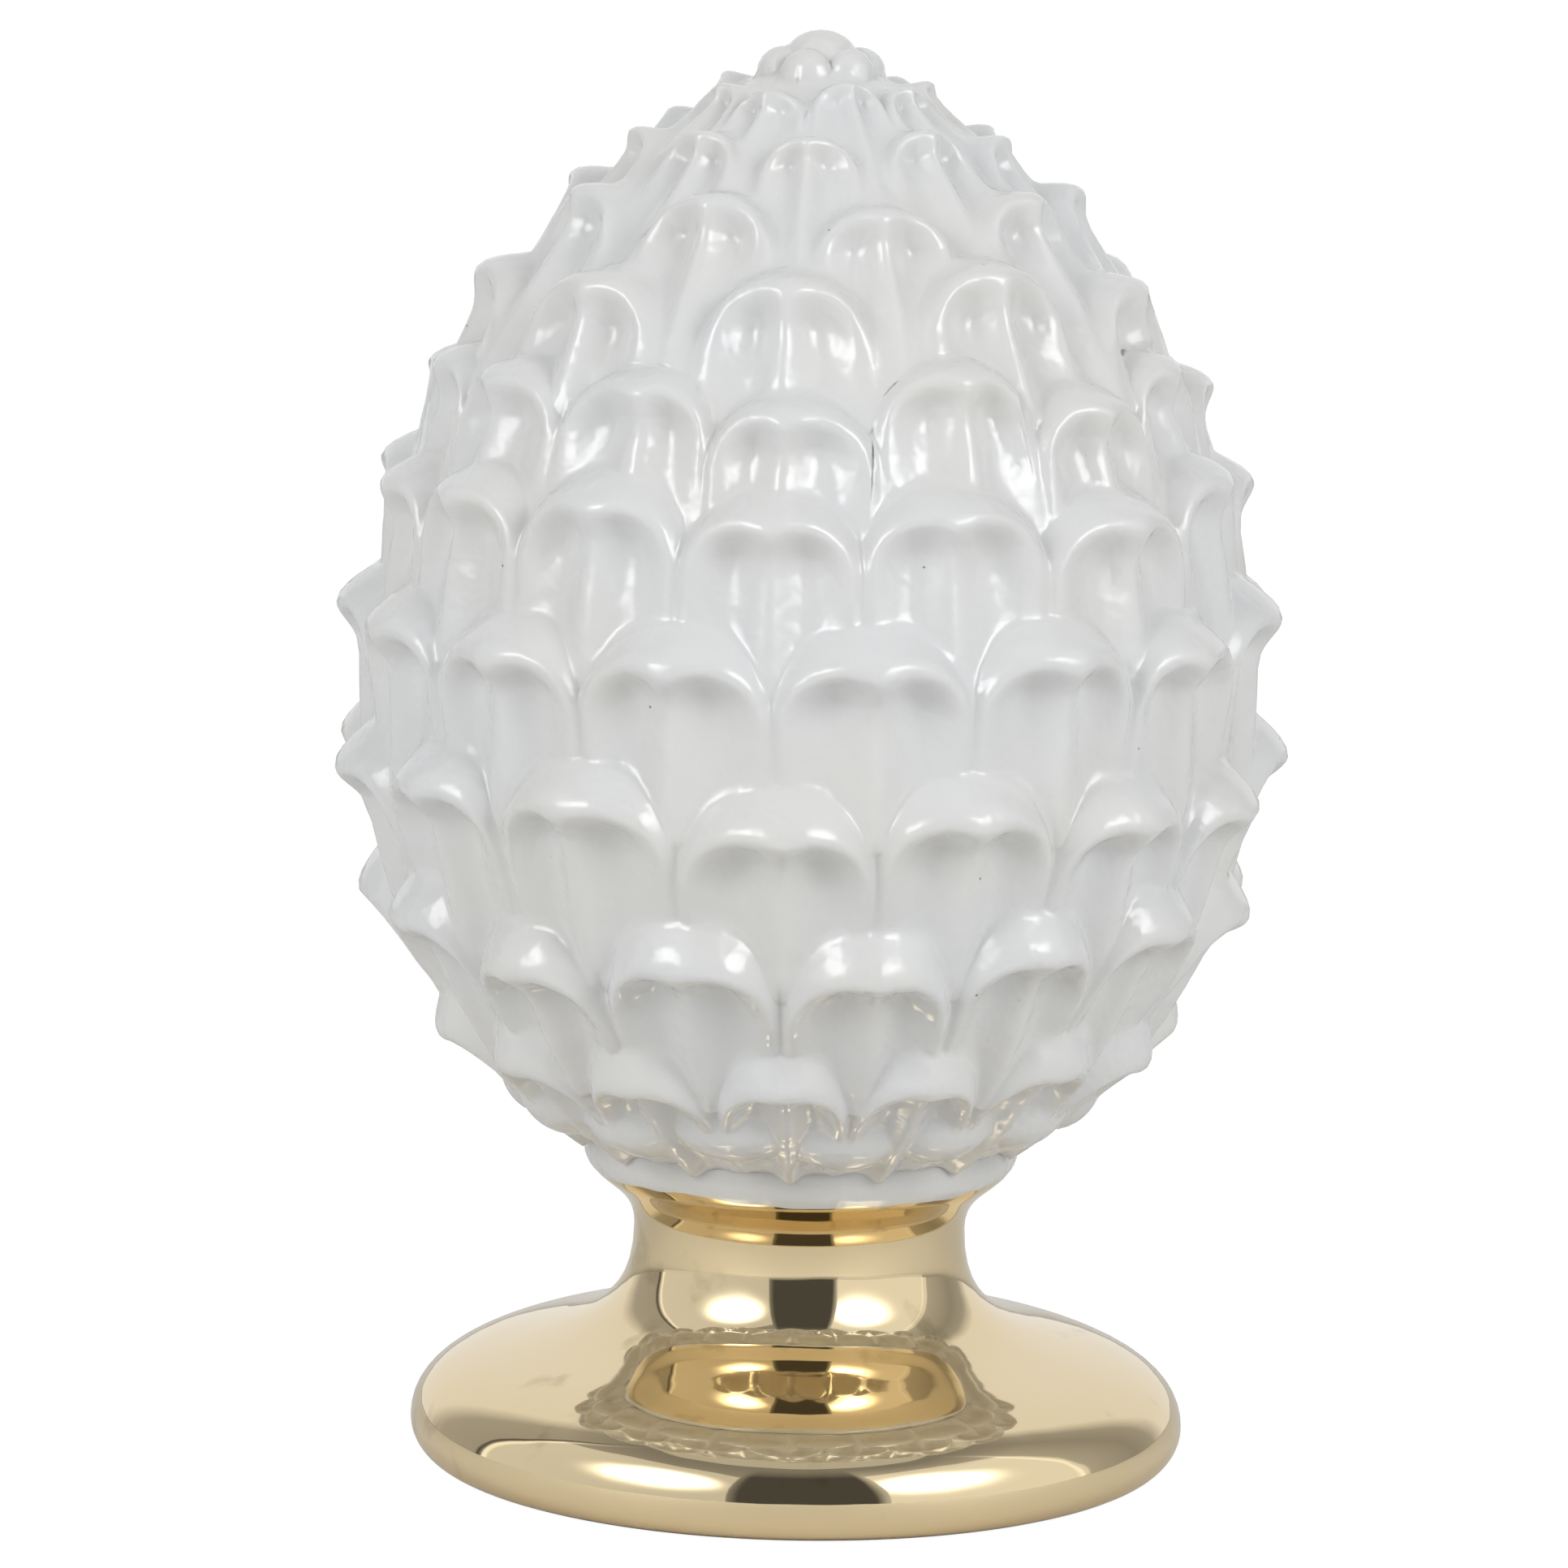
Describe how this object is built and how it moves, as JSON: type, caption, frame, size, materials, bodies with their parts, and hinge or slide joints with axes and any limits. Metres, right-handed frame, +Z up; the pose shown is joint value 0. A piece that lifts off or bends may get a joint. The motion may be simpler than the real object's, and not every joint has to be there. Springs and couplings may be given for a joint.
{
  "type": "pinecone finial",
  "caption": "Glazed ceramic pinecone with overlapping carved scales on a waisted round foot with gold lustre.",
  "frame": {"origin": "on the ground under the middle of the round foot", "axes": "+Z up along the pinecone's axis; the side that the picture shows faces -Y; +X to the right of it"},
  "size_m": [0.1978, 0.1973, 0.2988],
  "materials": {
    "white_glaze": "clear high gloss glaze over white, pooling grey-green in the hollows",
    "gold_lustre": "pale gold lustre painted over the glaze, mirror bright, with fine hand-made waves and scratches"
  },
  "bodies": {
    "root": {"pinecone_finial": "white_glaze"}
  },
  "joints": []
}
